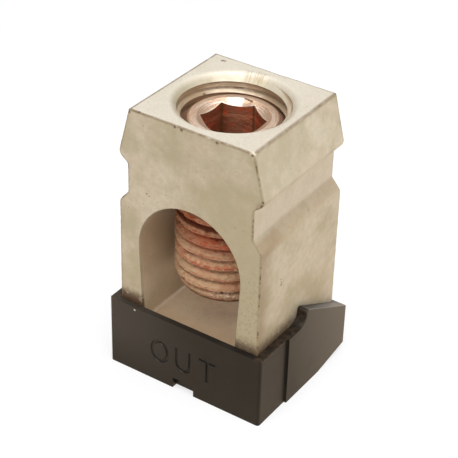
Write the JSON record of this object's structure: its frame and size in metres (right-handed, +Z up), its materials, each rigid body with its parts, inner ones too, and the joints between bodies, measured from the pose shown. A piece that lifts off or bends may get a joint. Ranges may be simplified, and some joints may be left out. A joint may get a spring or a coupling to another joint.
{
  "type": "mechanical cable lug",
  "caption": "Extruded aluminium box lug with an arched wire opening, a hex-socket clamp screw through its top and a black plastic base shoe with latch wings.",
  "frame": {"origin": "where the clamp screw's axis meets the underside of the base shoe", "axes": "+Z up along the clamp screw, -Y out of the wire side, X across the lug"},
  "size_m": [0.032, 0.027, 0.0512],
  "materials": {
    "tinned_aluminium": "matt tin plate, warm grey beige, a little stained",
    "copper_plated_steel": "bright copper plate, darker and redder in the thread and the socket",
    "black_plastic": "moulded brownish black plastic, satin"
  },
  "bodies": {
    "lug": {"lug_body": "tinned_aluminium", "base_shoe": "black_plastic"},
    "screw": {"clamp_screw": "copper_plated_steel"}
  },
  "joints": [
    {"name": "screw_travel", "type": "slide", "parent": "lug", "child": "screw", "axis": [0, 0, 1], "range_m": [-0.00423, 0.01905]}
  ]
}
